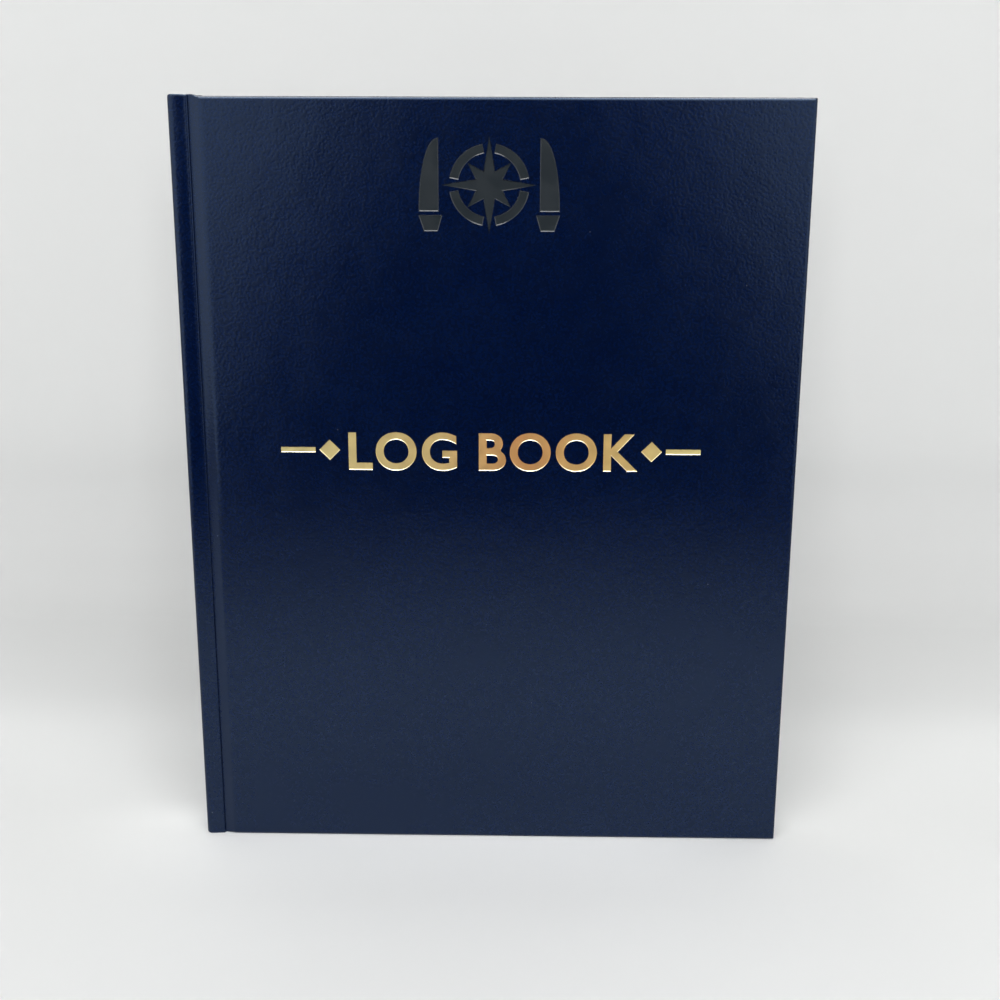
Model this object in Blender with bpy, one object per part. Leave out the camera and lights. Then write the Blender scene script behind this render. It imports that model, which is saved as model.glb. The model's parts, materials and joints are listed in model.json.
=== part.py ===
"""Case-bound logbook, closed and standing on its tail.

Frame: metres, +Z up. X runs across the covers from the spine (-X) to the fore edge (+X), and the
front cover faces -Y. The origin is the bottom centre of the closed book.

Positions across the book are written as (u, v): u is the distance from the outer face of the spine,
and v is the depth below the outer face of a cover. The back of the book mirrors the front, so each
side measures v from its own cover.
"""

import math

import bmesh
import bpy
from mathutils import Vector

# Overall size
COVER_WIDTH = 0.190
COVER_HEIGHT = 0.238
SPINE_CAP_PROUD = 0.0005  # how far the spine's cloth stands above the boards at the head

# Sheet thicknesses
CLOTH = 0.0004
BOARD = 0.0022
SPINE_BOARD = 0.0019
ENDPAPER = 0.0002
MULL = 0.00015
LINING = 0.0002
GLUE = 0.0001  # glue line left open between two sheets

# Text block: each signature is folded from four sheets, so each half of it is a packet of four leaves
SIGNATURES = 6
PACKET = 0.00042
PACKET_GAP = 0.00006
BLOCK = 2 * SIGNATURES * PACKET + (2 * SIGNATURES - 1) * PACKET_GAP
SQUARE = 0.0035  # how far the covers overhang the pages
PAGE_FORE_EDGE = COVER_WIDTH - SQUARE

# Depths below a cover's outer face, layer by layer
BOARD_V = CLOTH + GLUE
TURN_IN_V = BOARD_V + BOARD + GLUE
PASTEDOWN_V = TURN_IN_V + CLOTH + GLUE
FLYLEAF_V = PASTEDOWN_V + ENDPAPER + GLUE
BLOCK_V = FLYLEAF_V + ENDPAPER + GLUE
THICKNESS = 2 * BLOCK_V + BLOCK

# Spine and joints, as distances from the outer face of the spine
SPINE_DEPTH = 0.0028
SPINE_EDGE_RADIUS = 0.0012
SHOULDER_END_U = 0.0061
GROOVE_U = 0.00705
GROOVE_DEPTH = 0.0021
JOINT_END_U = 0.0077
COVER_CLOTH_U = 0.0079
BOARD_U = 0.0090
BOARD_FLAT_U = 0.0102
HINGE_SLOPE = 0.74  # fall of the pressed hinge edge of a cover, from its flat face into the groove
LINING_U = 0.00315
MULL_U = 0.00345
BAND_U = 0.00366
FOLD_U = 0.0039
FOLD_END_U = 0.0071
LEAF_U = 0.0074

# Turn-ins and mull
TURN_IN = 0.015
SPINE_TURN_IN = 0.012
MULL_INSET = 0.022
MULL_FLANGE_END_U = 0.035

# Head and tail bands
BAND_TAPE = 0.00018
BAND_TAPE_LENGTH = 0.012
BAND_BEAD_RADIUS = 0.0007

# Sewing
THREAD_RADIUS = 0.00012
THREAD_CHANNEL_RADIUS = 0.0002
THREAD_U = 0.00462
THREAD_CROSSING_U = 0.00425
KETTLE_INSET = 0.014  # first and last stitch, from the ends of the pages
KETTLE_NOTCH = 0.0016

# Hinge lines of the covers and leaves
HINGE_U = 0.0072
HINGE_PROUD = 0.0002  # how far the lines lie outside the covers' faces

RIM_BEVEL = 0.00045
CUT_MARGIN = 0.001

FRONT = 1
BACK = -1
SIDE_NAMES = {FRONT: "front", BACK: "back"}
PAGES_Z = (SQUARE, COVER_HEIGHT - SQUARE)


def x_of(u):
    return u - COVER_WIDTH / 2


def y_of(v, side=FRONT):
    return side * (v - THICKNESS / 2)


def hinge_edge_v(u, depth=0.0):
    """Depth of the sloping hinge edge of a cover at u, or of a layer lying some depth under it."""
    return HINGE_SLOPE * (BOARD_FLAT_U - u) + depth * math.hypot(1, HINGE_SLOPE)


def flat_start_u(depth=0.0):
    """Where a layer lying some depth under the cover's outer face turns from flat to sloping."""
    return BOARD_FLAT_U + depth * (math.hypot(1, HINGE_SLOPE) - 1) / HINGE_SLOPE


def under_hinge_edge(u):
    """The point of the cloth's inner side that lies square under its outer side at u."""
    length = math.hypot(1, HINGE_SLOPE)
    return u + CLOTH * HINGE_SLOPE / length, hinge_edge_v(u) + CLOTH / length


def clear_scene():
    for obj in list(bpy.data.objects):
        bpy.data.objects.remove(obj, do_unlink=True)


def material(name, colour, roughness):
    made = bpy.data.materials.new(name)
    made.use_nodes = True
    shader = made.node_tree.nodes["Principled BSDF"]
    shader.inputs["Base Color"].default_value = (*colour, 1.0)
    shader.inputs["Roughness"].default_value = roughness
    return made


def make_materials():
    return {
        "leatherette": material("leatherette", (0.012, 0.020, 0.060), 0.38),
        "greyboard": material("greyboard", (0.36, 0.33, 0.28), 0.9),
        "endpaper": material("endpaper", (0.86, 0.85, 0.81), 0.8),
        "page_paper": material("page_paper", (0.88, 0.87, 0.83), 0.85),
        "mull_cloth": material("mull_cloth", (0.80, 0.77, 0.68), 0.95),
        "kraft_paper": material("kraft_paper", (0.52, 0.38, 0.24), 0.9),
        "band_cloth": material("band_cloth", (0.10, 0.14, 0.30), 0.7),
        "linen_thread": material("linen_thread", (0.86, 0.84, 0.78), 0.7),
    }


def add_pivot(name, location):
    """An empty that carries the pieces of one rigid group, on their hinge line if they have one."""
    pivot = bpy.data.objects.new(name, None)
    pivot.location = location
    bpy.context.scene.collection.objects.link(pivot)
    return pivot


def link_mesh(name, bm, look, pivot):
    """Stores a mesh drawn in world coordinates as an object whose origin is its pivot's."""
    bmesh.ops.recalc_face_normals(bm, faces=bm.faces)
    bmesh.ops.translate(bm, verts=bm.verts, vec=-pivot.location)
    mesh = bpy.data.meshes.new(name)
    bm.to_mesh(mesh)
    bm.free()
    mesh.shade_smooth()
    mesh.set_sharp_from_angle(angle=math.radians(35))
    if look is not None:
        mesh.materials.append(look)
    obj = bpy.data.objects.new(name, mesh)
    obj.parent = pivot
    bpy.context.scene.collection.objects.link(obj)
    return obj


def swept(points, low, high):
    """A bmesh of a flat outline of 3-D points, swept from the offset low to the offset high."""
    bm = bmesh.new()
    first = [bm.verts.new(point + low) for point in points]
    last = [bm.verts.new(point + high) for point in points]
    bm.faces.new(first)
    bm.faces.new(last)
    for i in range(len(points)):
        j = (i + 1) % len(points)
        bm.faces.new((first[i], first[j], last[j], last[i]))
    return bm


def upright(outline, z_range, side=FRONT):
    """A bmesh of an outline of (u, v) points, standing between two heights."""
    points = [Vector((x_of(u), y_of(v, side), 0.0)) for u, v in outline]
    return swept(points, Vector((0, 0, z_range[0])), Vector((0, 0, z_range[1])))


def rectangle(u_range, v_range):
    (u_low, u_high), (v_low, v_high) = u_range, v_range
    return [(u_low, v_low), (u_high, v_low), (u_high, v_high), (u_low, v_high)]


def arc(centre, radius, start, end, steps):
    """Points on a circle from one angle to another, in degrees."""
    angles = [math.radians(start + (end - start) * i / steps) for i in range(steps + 1)]
    return [(centre[0] + radius * math.cos(a), centre[1] + radius * math.sin(a)) for a in angles]


def mirrored(outline):
    """The same outline on the other half of the book, walked the other way round."""
    return [(u, THICKNESS - v) for u, v in reversed(outline)]


def add_slab(name, look, pivot, u_range, v_range, z_range, side=FRONT):
    return link_mesh(name, upright(rectangle(u_range, v_range), z_range, side), look, pivot)


def cut(obj, cutter_name, bm, pivot):
    """Takes a closed shape away from obj with a Boolean, and hides the cutter."""
    cutter = link_mesh(cutter_name, bm, None, pivot)
    cutter.hide_render = True
    cutter.display_type = "WIRE"
    modifier = obj.modifiers.new(cutter_name, "BOOLEAN")
    modifier.operation = "DIFFERENCE"
    modifier.solver = "EXACT"
    modifier.object = cutter


def round_rim(bm, side):
    """Rounds the edges of a cover's outer face, and the four corners of its fore edge."""
    outer_y = y_of(0, side)
    fore_x = x_of(COVER_WIDTH)
    edges = [
        edge
        for edge in bm.edges
        if all(abs(vert.co.y - outer_y) < GLUE / 10 for vert in edge.verts)
        or all(abs(vert.co.x - fore_x) < GLUE / 10 for vert in edge.verts)
    ]
    bmesh.ops.bevel(bm, geom=edges, offset=RIM_BEVEL, segments=2, profile=0.5, affect="EDGES")


def add_board(side, looks, pivot):
    """The greyboard, pressed down along its hinge edge."""
    low_v, high_v = BOARD_V, BOARD_V + BOARD
    outline = [
        (BOARD_U, hinge_edge_v(BOARD_U, low_v)),
        (flat_start_u(low_v), low_v),
        (COVER_WIDTH - BOARD_V, low_v),
        (COVER_WIDTH - BOARD_V, high_v),
        (BOARD_U, high_v),
    ]
    bm = upright(outline, (BOARD_V, COVER_HEIGHT - BOARD_V), side)
    link_mesh(f"{SIDE_NAMES[side]}_board", bm, looks["greyboard"], pivot)


def add_cover_cloth(side, looks, pivot):
    """The leatherette round one board, wrapped over its head, tail and fore edge and turned in."""
    name = SIDE_NAMES[side]
    turned_v = TURN_IN_V + CLOTH
    outline = [
        (COVER_CLOTH_U, hinge_edge_v(COVER_CLOTH_U)),
        (BOARD_FLAT_U, 0.0),
        (COVER_WIDTH, 0.0),
        (COVER_WIDTH, turned_v),
        (BOARD_U, turned_v),
        under_hinge_edge(COVER_CLOTH_U),
    ]
    bm = upright(outline, (0.0, COVER_HEIGHT), side)
    round_rim(bm, side)
    cloth = link_mesh(f"{name}_cover_cloth", bm, looks["leatherette"], pivot)

    open_u = JOINT_END_U
    pocket = [
        (open_u, hinge_edge_v(open_u, CLOTH)),
        (flat_start_u(CLOTH), CLOTH),
        (COVER_WIDTH - CLOTH, CLOTH),
        (COVER_WIDTH - CLOTH, TURN_IN_V),
        (open_u, TURN_IN_V),
    ]
    cut(cloth, f"{name}_board_pocket", upright(pocket, (CLOTH, COVER_HEIGHT - CLOTH), side), pivot)
    window = rectangle((open_u, COVER_WIDTH - TURN_IN), (TURN_IN_V - GLUE, turned_v + CUT_MARGIN))
    window_z = (TURN_IN, COVER_HEIGHT - TURN_IN)
    cut(cloth, f"{name}_turn_in_window", upright(window, window_z, side), pivot)


def add_cover(side, looks, pivot):
    """A board in its leatherette, with the mull flange that ties it to the spine."""
    add_board(side, looks, pivot)
    add_cover_cloth(side, looks, pivot)
    flange_u = (BOARD_U + GLUE, MULL_FLANGE_END_U)
    flange_v = (TURN_IN_V, TURN_IN_V + MULL)
    flange_z = (MULL_INSET, COVER_HEIGHT - MULL_INSET)
    name = f"{SIDE_NAMES[side]}_mull_flange"
    add_slab(name, looks["mull_cloth"], pivot, flange_u, flange_v, flange_z, side)


def add_endpaper(side, looks, pivot, block):
    """A folded endpaper: the pastedown on the board, the fold at the spine and the free flyleaf."""
    name = SIDE_NAMES[side]
    look = looks["endpaper"]
    leaf_u = (LEAF_U, PAGE_FORE_EDGE)
    pasted = (PASTEDOWN_V, PASTEDOWN_V + ENDPAPER)
    free = (FLYLEAF_V, FLYLEAF_V + ENDPAPER)
    add_slab(f"{name}_pastedown", look, pivot, leaf_u, pasted, PAGES_Z, side)
    add_slab(f"{name}_flyleaf", look, pivot, leaf_u, free, PAGES_Z, side)
    wall_u = FOLD_U + ENDPAPER
    outline = [(FOLD_END_U, pasted[0]), (FOLD_U, pasted[0]), (FOLD_U, free[1]), (FOLD_END_U, free[1])]
    outline += [(FOLD_END_U, free[0]), (wall_u, free[0]), (wall_u, pasted[1]), (FOLD_END_U, pasted[1])]
    link_mesh(f"{name}_endpaper_fold", upright(outline, PAGES_Z, side), look, block)


def spine_back(inset):
    """Outline of the spine's rounded back, from the front cover's side round to the back cover's."""
    centre = (SPINE_EDGE_RADIUS, SPINE_EDGE_RADIUS)
    front_edge = arc(centre, SPINE_EDGE_RADIUS - inset, 270, 180, 4)
    return front_edge + mirrored(front_edge)


def add_spine(looks, block):
    """The spine board, and the leatherette over the spine, its two shoulders and the two grooves."""
    groove_foot = (GROOVE_U, GROOVE_DEPTH)
    groove_roof = (GROOVE_U - 0.0001, GROOVE_DEPTH + CLOTH)
    outer = [(JOINT_END_U, hinge_edge_v(JOINT_END_U)), groove_foot, (0.00675, 0.0016)]
    outer += [(0.0065, 0.0003), (SHOULDER_END_U, 0.0)]
    inner = [(SPINE_DEPTH, CLOTH), (SHOULDER_END_U - 0.0001, CLOTH), (0.00615, 0.0005)]
    inner += [(0.0064, 0.0019), groove_roof, under_hinge_edge(JOINT_END_U)]
    outline = outer + spine_back(0.0) + mirrored(outer) + mirrored(inner) + inner
    top = COVER_HEIGHT + SPINE_CAP_PROUD
    cloth = link_mesh("spine_cloth", upright(outline, (0.0, top)), looks["leatherette"], block)

    pocket_u = SPINE_DEPTH - CLOTH
    pocket = spine_back(CLOTH) + [(pocket_u, THICKNESS - CLOTH), (pocket_u, CLOTH)]
    cut(cloth, "spine_board_pocket", upright(pocket, (CLOTH, top - CLOTH)), block)
    window = rectangle((pocket_u - GLUE, SPINE_DEPTH + CUT_MARGIN), (CLOTH, THICKNESS - CLOTH))
    cut(cloth, "spine_turn_in_window", upright(window, (SPINE_TURN_IN, top - SPINE_TURN_IN)), block)

    board_u = BOARD_V + SPINE_BOARD
    board = spine_back(BOARD_V) + [(board_u, THICKNESS - BOARD_V), (board_u, BOARD_V)]
    bm = upright(board, (BOARD_V, top - BOARD_V))
    link_mesh("spine_board", bm, looks["greyboard"], block)


def packet_v(index):
    """Depth range of one packet of leaves, counted from the front."""
    low = BLOCK_V + index * (PACKET + PACKET_GAP)
    return low, low + PACKET


def fold_middle_v(number):
    """Depth of the centre fold of a signature, counted from 0 at the front."""
    return (packet_v(2 * number)[0] + packet_v(2 * number + 1)[1]) / 2


def add_signature(number, looks, pivots, block):
    """One signature: the sewn fold, which stays on the spine, and its two packets of leaves."""
    name = f"signature_{number + 1}"
    look = looks["page_paper"]
    front_v, rear_v = packet_v(2 * number), packet_v(2 * number + 1)
    pivot = pivots[FRONT if number < SIGNATURES / 2 else BACK]
    leaf_u = (LEAF_U, PAGE_FORE_EDGE)
    add_slab(f"{name}_front_leaves", look, pivot, leaf_u, front_v, PAGES_Z)
    add_slab(f"{name}_rear_leaves", look, pivot, leaf_u, rear_v, PAGES_Z)

    middle = fold_middle_v(number)
    back_radius = (rear_v[1] - front_v[0]) / 2
    mouth = math.degrees(math.asin(PACKET_GAP / 2 / THREAD_CHANNEL_RADIUS))
    outline = [(FOLD_END_U, rear_v[1])]
    outline += arc((FOLD_U + back_radius, middle), back_radius, 90, 270, 6)
    outline += [(FOLD_END_U, front_v[0]), (FOLD_END_U, front_v[1])]
    outline += arc((THREAD_U, middle), THREAD_CHANNEL_RADIUS, 360 - mouth, mouth, 8)
    outline += [(FOLD_END_U, rear_v[0])]
    fold = link_mesh(f"{name}_fold", upright(outline, PAGES_Z), look, block)
    for end in ("tail", "head"):
        cut(fold, f"{name}_{end}_notch", kettle_notch(end), block)


def kettle_z(end):
    if end == "tail":
        return PAGES_Z[0] + KETTLE_INSET
    return PAGES_Z[1] - KETTLE_INSET


def kettle_notch(end):
    """Opening across the backs of the signatures, where the thread passes from one to the next."""
    notch_u = (FOLD_U - CUT_MARGIN, THREAD_U + 0.00013)
    notch_v = (BLOCK_V - CUT_MARGIN, BLOCK_V + BLOCK + CUT_MARGIN)
    middle = kettle_z(end)
    return upright(rectangle(notch_u, notch_v), (middle - KETTLE_NOTCH / 2, middle + KETTLE_NOTCH / 2))


def add_thread(looks, block):
    """One continuous thread, up one fold and down the next, crossing between them at the notches."""
    points = []
    for number in range(SIGNATURES):
        middle = fold_middle_v(number)
        start, finish = ("tail", "head") if number % 2 == 0 else ("head", "tail")
        if number > 0:
            points.append((THREAD_CROSSING_U, middle, kettle_z(start)))
        points.append((THREAD_U, middle, kettle_z(start)))
        points.append((THREAD_U, middle, kettle_z(finish)))
        if number < SIGNATURES - 1:
            points.append((THREAD_CROSSING_U, middle, kettle_z(finish)))
    curve = bpy.data.curves.new("sewing_thread", "CURVE")
    curve.dimensions = "3D"
    curve.bevel_depth = THREAD_RADIUS
    curve.bevel_resolution = 1
    curve.use_fill_caps = True
    spline = curve.splines.new("POLY")
    spline.points.add(len(points) - 1)
    for control, (u, v, z) in zip(spline.points, points):
        control.co = (x_of(u), y_of(v), z, 1.0)
    curve.materials.append(looks["linen_thread"])
    thread = bpy.data.objects.new("sewing_thread", curve)
    thread.parent = block
    bpy.context.scene.collection.objects.link(thread)


def add_band(end, looks, block):
    """A headband: a rolled bead over the ends of the signatures, on a tape down their backs."""
    radius = BAND_BEAD_RADIUS
    bead = (BAND_U + BAND_TAPE / 2 + 0.00055, 0.00085)
    near = math.degrees(math.acos((BAND_U + BAND_TAPE - bead[0]) / radius))
    far = math.degrees(math.acos((BAND_U - bead[0]) / radius))
    profile = [(BAND_U, -BAND_TAPE_LENGTH), (BAND_U + BAND_TAPE, -BAND_TAPE_LENGTH)]
    profile += arc(bead, radius, -near, 360 - far, 14)
    edge_z, outward = (PAGES_Z[1], 1) if end == "head" else (PAGES_Z[0], -1)
    points = [Vector((x_of(u), 0, edge_z + outward * z)) for u, z in profile]
    low = Vector((0, y_of(BLOCK_V + GLUE), 0))
    high = Vector((0, y_of(BLOCK_V + BLOCK - GLUE), 0))
    link_mesh(f"{end}_band", swept(points, low, high), looks["band_cloth"], block)


def add_spine_linings(looks, block):
    """The mull glued round the backs of the signatures, and the kraft lining over it."""
    mull_z = (MULL_INSET, COVER_HEIGHT - MULL_INSET)
    wing_v = (PASTEDOWN_V - GLUE - MULL, PASTEDOWN_V - GLUE)
    wall_u = (MULL_U, MULL_U + MULL)
    outer = [(FOLD_END_U, wing_v[0]), (wall_u[0], wing_v[0])]
    inner = [(wall_u[1], wing_v[1]), (FOLD_END_U, wing_v[1])]
    outline = outer + mirrored(outer) + mirrored(inner) + inner
    link_mesh("spine_mull", upright(outline, mull_z), looks["mull_cloth"], block)
    lining_v = (FLYLEAF_V, THICKNESS - FLYLEAF_V)
    lining_z = (PAGES_Z[0] + GLUE, PAGES_Z[1] - GLUE)
    lining_u = (LINING_U, LINING_U + LINING)
    add_slab("spine_lining", looks["kraft_paper"], block, lining_u, lining_v, lining_z)


def build():
    clear_scene()
    looks = make_materials()
    block = add_pivot("text_block", (0.0, 0.0, 0.0))
    pivots = {}
    for side in (FRONT, BACK):
        hinge_line = (x_of(HINGE_U), y_of(-HINGE_PROUD, side), 0.0)
        pivots[side] = add_pivot(f"{SIDE_NAMES[side]}_hinge_line", hinge_line)
        add_cover(side, looks, pivots[side])
        add_endpaper(side, looks, pivots[side], block)
    add_spine(looks, block)
    for number in range(SIGNATURES):
        add_signature(number, looks, pivots, block)
    add_thread(looks, block)
    add_spine_linings(looks, block)
    add_band("head", looks, block)
    add_band("tail", looks, block)


build()
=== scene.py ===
"""Looks for the case-bound logbook: cloth, paper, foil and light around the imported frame."""

import itertools
import json
import math

import bmesh
import bpy
import numpy as np
from mathutils import Matrix, Vector, noise
from mathutils.geometry import delaunay_2d_cdt


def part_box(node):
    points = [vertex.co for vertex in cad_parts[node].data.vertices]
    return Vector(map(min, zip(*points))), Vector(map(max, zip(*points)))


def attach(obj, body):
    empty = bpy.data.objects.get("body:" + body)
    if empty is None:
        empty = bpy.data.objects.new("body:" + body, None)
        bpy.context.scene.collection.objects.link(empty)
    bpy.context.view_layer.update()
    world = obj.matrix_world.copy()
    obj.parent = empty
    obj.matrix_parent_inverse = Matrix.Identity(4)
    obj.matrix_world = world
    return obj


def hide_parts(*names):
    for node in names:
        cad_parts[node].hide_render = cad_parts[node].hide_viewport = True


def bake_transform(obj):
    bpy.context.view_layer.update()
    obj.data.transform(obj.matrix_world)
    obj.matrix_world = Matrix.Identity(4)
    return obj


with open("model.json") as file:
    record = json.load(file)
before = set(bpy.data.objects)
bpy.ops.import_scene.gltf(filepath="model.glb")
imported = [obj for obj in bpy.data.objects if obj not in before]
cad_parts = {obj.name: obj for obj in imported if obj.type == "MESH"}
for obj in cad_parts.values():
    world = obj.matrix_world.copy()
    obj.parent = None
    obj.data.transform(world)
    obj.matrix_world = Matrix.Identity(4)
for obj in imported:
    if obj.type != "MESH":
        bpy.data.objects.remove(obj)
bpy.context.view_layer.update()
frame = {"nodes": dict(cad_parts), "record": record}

MM = 0.001
FRONT, BACK = 1, -1
SIDE_NAMES = {FRONT: "front", BACK: "back"}
ROOT = "text_block"

# Sizes read from the frame
CLOTH_LOW, CLOTH_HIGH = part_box("front_cover_cloth")
SPINE_LOW, SPINE_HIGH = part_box("spine_cloth")
LEAF_LOW, LEAF_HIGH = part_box("front_flyleaf")
FORE_X = CLOTH_HIGH.x
SPINE_X = SPINE_LOW.x
HEIGHT = CLOTH_HIGH.z
CAP_HEIGHT = SPINE_HIGH.z
FRONT_Y = CLOTH_LOW.y
HALF = -FRONT_Y
COVER_DEPTH = CLOTH_HIGH.y - CLOTH_LOW.y
WIDTH = FORE_X - SPINE_X

CLOTH = 0.38 * MM
CORNER = 1.1 * MM
CORNER_RADIUS = 0.35 * MM
RIM = 0.85 * MM
TURN_IN = 15 * MM
FACE_COLUMNS = 56

# Where the sheets leave the block, and marks near the joint for the cover and the leaves; the sheets'
# close-set columns end at the second mark of each pair
SHEET_START_U = 7.12 * MM
COVER_BEND_U, JOINT_END_U = 8.5 * MM, 9.5 * MM
LEAF_BEND_U, LEAF_END_U = 15 * MM, 16 * MM
LEAVES_PER_PACKET = 4

ENDPAPER_TONES = ((0.80, 0.785, 0.735, 1), (0.86, 0.85, 0.81, 1))
PAGE_TONES = ((0.84, 0.83, 0.79, 1), (0.89, 0.88, 0.85, 1))
MULL_WEAVE = (0.9 * MM, (0.82, 0.79, 0.70, 1), (0.40, 0.37, 0.31, 1))

# The viewpoint, the plain room, and the painted shade on the backdrop by slope of the line of sight
EYE = Vector((9.656, -420.62, 225.2)) * MM
ROOM_COLOUR = (0.97, 0.985, 1.0, 1)
ROOM_SHOWN = 0.80
SLOPE_LOW, SLOPE_HIGH = -0.70, 0.10
BACKDROP_PAINTED_SHADE = (
    (-0.70, 0.925),
    (-0.60, 0.905),
    (-0.53, 0.860),
    (-0.455, 0.900),
    (-0.425, 0.830),
    (-0.39, 0.790),
    (-0.34, 0.760),
    (-0.30, 0.785),
    (-0.225, 0.915),
    (-0.15, 0.940),
    (0.10, 0.945),
)


def x_of(u):
    return SPINE_X + u


def y_of(v, side=FRONT):
    return side * (v - HALF)


def smoothstep(low, high, value):
    t = min(max((value - low) / (high - low), 0.0), 1.0)
    return t * t * (3 - 2 * t)


# ---------------------------------------------------------------- node helpers


class Nodes:
    """Short names for building one node tree."""

    def __init__(self, tree):
        self.tree = tree

    def add(self, kind, inputs=None, **settings):
        made = self.tree.nodes.new(kind)
        for key, value in settings.items():
            setattr(made, key, value)
        for key, value in (inputs or {}).items():
            if isinstance(value, bpy.types.NodeSocket):
                self.tree.links.new(value, made.inputs[key])
            else:
                made.inputs[key].default_value = value
        return made

    def math(self, operation, a, b=0.0, c=0.0):
        return self.add("ShaderNodeMath", {0: a, 1: b, 2: c}, operation=operation).outputs[0]

    def mix(self, factor, a, b, blend="MIX"):
        made = self.add("ShaderNodeMix", data_type="RGBA", blend_type=blend, clamp_factor=True)
        for socket, value in ((made.inputs[0], factor), (made.inputs[6], a), (made.inputs[7], b)):
            if isinstance(value, bpy.types.NodeSocket):
                self.tree.links.new(value, socket)
            else:
                socket.default_value = value
        return made.outputs[2]

    def ramp(self, value, low, high, to_low=0.0, to_high=1.0, smooth=True):
        kind = "SMOOTHSTEP" if smooth else "LINEAR"
        inputs = {0: value, 1: low, 2: high, 3: to_low, 4: to_high}
        return self.add("ShaderNodeMapRange", inputs, interpolation_type=kind, clamp=True).outputs[0]

    def split(self, vector):
        return self.add("ShaderNodeSeparateXYZ", {0: vector}).outputs

    def upward(self):
        """How far the surface faces up, from -1 to 1."""
        return self.split(self.add("ShaderNodeNewGeometry").outputs["Normal"])[2]

    def cells(self, vector, scale):
        return self.add("ShaderNodeTexVoronoi", {"Vector": vector, "Scale": scale, "Randomness": 1.0})

    def noise(self, vector, scale, detail=3.0, roughness=0.5):
        inputs = {"Vector": vector, "Scale": scale, "Detail": detail, "Roughness": roughness}
        return self.add("ShaderNodeTexNoise", inputs).outputs["Fac"]

    def bump(self, height, distance, strength=1.0, normal=None):
        inputs = {"Height": height, "Distance": distance, "Strength": strength}
        if normal is not None:
            inputs["Normal"] = normal
        return self.add("ShaderNodeBump", inputs).outputs["Normal"]


def new_material(name, rest=True):
    """A material, its node helper, its shader, and coordinates that stay put when a piece bends."""
    made = bpy.data.materials.new(name)
    made.use_nodes = True
    nodes = Nodes(made.node_tree)
    shader = made.node_tree.nodes["Principled BSDF"]
    if rest:
        place = nodes.add("ShaderNodeAttribute", attribute_name="rest_place").outputs["Vector"]
    else:
        place = nodes.add("ShaderNodeTexCoord").outputs["Object"]
    return made, nodes, shader, place


def set_inputs(nodes, shader, **values):
    for key, value in values.items():
        socket = shader.inputs[key.replace("_", " ")]
        if isinstance(value, bpy.types.NodeSocket):
            nodes.tree.links.new(value, socket)
        else:
            socket.default_value = value


# ---------------------------------------------------------------- materials


def leatherette_material():
    """Navy leatherette, pebbled under a satin film and dusty. Painted shade dims its reflection along the
    folds at the fore edge and spine; on upward-facing rims the reflection is dimmed and greyed, partly
    rubbing wear and partly painted shade.
    """
    made, nodes, shader, place = new_material("navy_leatherette")
    pebbles = nodes.cells(place, 1350.0)
    pebbles.feature = "SMOOTH_F1"
    grain = nodes.math("MULTIPLY_ADD", nodes.noise(place, 2600.0, 4.0, 0.6), 0.4, pebbles.outputs["Distance"])
    grain = nodes.math("MULTIPLY_ADD", nodes.cells(place, 4300.0).outputs["Distance"], 0.15, grain)
    drift = nodes.ramp(nodes.noise(place, 22.0, 4.0, 0.55), 0.3, 0.7)
    blue = nodes.mix(drift, (0.0003, 0.0042, 0.0262, 1), (0.0005, 0.0052, 0.0312, 1))
    blue = nodes.mix(nodes.ramp(grain, 0.45, 1.0, 0.0, 0.55), blue, (0.0008, 0.0022, 0.012, 1))
    specks = nodes.cells(place, 130.0)
    dot = nodes.ramp(specks.outputs["Distance"], 0.010, 0.023, 1.0, 0.0)
    lot = nodes.add("ShaderNodeSeparateColor", {0: specks.outputs["Color"]}).outputs[0]
    dust = nodes.math("MULTIPLY", dot, nodes.math("GREATER_THAN", lot, 0.68))
    blue = nodes.mix(nodes.math("MULTIPLY", dust, 0.5), blue, (0.30, 0.32, 0.36, 1))

    upward = nodes.upward()
    rough = nodes.ramp(nodes.noise(place, 90.0, 5.0, 0.6), 0.3, 0.75, 0.14, 0.175)
    rough = nodes.math("ADD", rough, nodes.ramp(upward, 0.86, 0.97, 0.0, 0.30))

    across, depth, _ = nodes.split(place)
    # Painted shade: over the folds round the fore edge and the spine, near the face, the reflection is cut to
    # a quarter to darken those edges.
    fore_fold = nodes.ramp(across, FORE_X - 0.8 * RIM, FORE_X - 0.2 * RIM)
    spine_fold = nodes.ramp(across, SPINE_X + 0.2 * RIM, SPINE_X + 0.8 * RIM, 1.0, 0.0)
    near_face = nodes.ramp(nodes.math("ABSOLUTE", depth), HALF - RIM, HALF - 0.6 * RIM)
    fold_painted_shade = nodes.math("MULTIPLY", nodes.math("MAXIMUM", fore_fold, spine_fold), near_face)
    # Upward-facing rims: the patchy rubbing is wear, while the dimming and greying of their reflection, keyed
    # to facing up, is painted shade.
    rubbing = nodes.ramp(nodes.noise(place, 28.0, 3.0, 0.6), 0.40, 0.60)
    rim_gloss_with_painted_shade = nodes.ramp(rubbing, 0.0, 1.0, 0.02, 0.13, smooth=False)
    gloss_with_painted_shade = nodes.ramp(upward, 0.86, 0.97, 0.50, rim_gloss_with_painted_shade)
    gloss_with_painted_shade = nodes.math("MULTIPLY", gloss_with_painted_shade, nodes.ramp(fold_painted_shade, 0.0, 1.0, 1.0, 0.25, smooth=False))
    rubbed_and_painted_shade_tint = nodes.mix(rubbing, (0.20, 0.20, 0.17, 1), (0.80, 0.79, 0.74, 1))
    tint = nodes.mix(nodes.ramp(upward, 0.45, 0.85), (0.51, 0.71, 1.0, 1), rubbed_and_painted_shade_tint)

    swell = nodes.bump(nodes.noise(place, 55.0, 2.0, 0.5), 0.25 * MM, 0.35)
    normal = nodes.bump(grain, 0.033 * MM, 0.6, swell)
    set_inputs(nodes, shader, Base_Color=blue, Roughness=rough, Normal=normal)
    set_inputs(nodes, shader, Specular_IOR_Level=gloss_with_painted_shade, Specular_Tint=tint)
    return made


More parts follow.
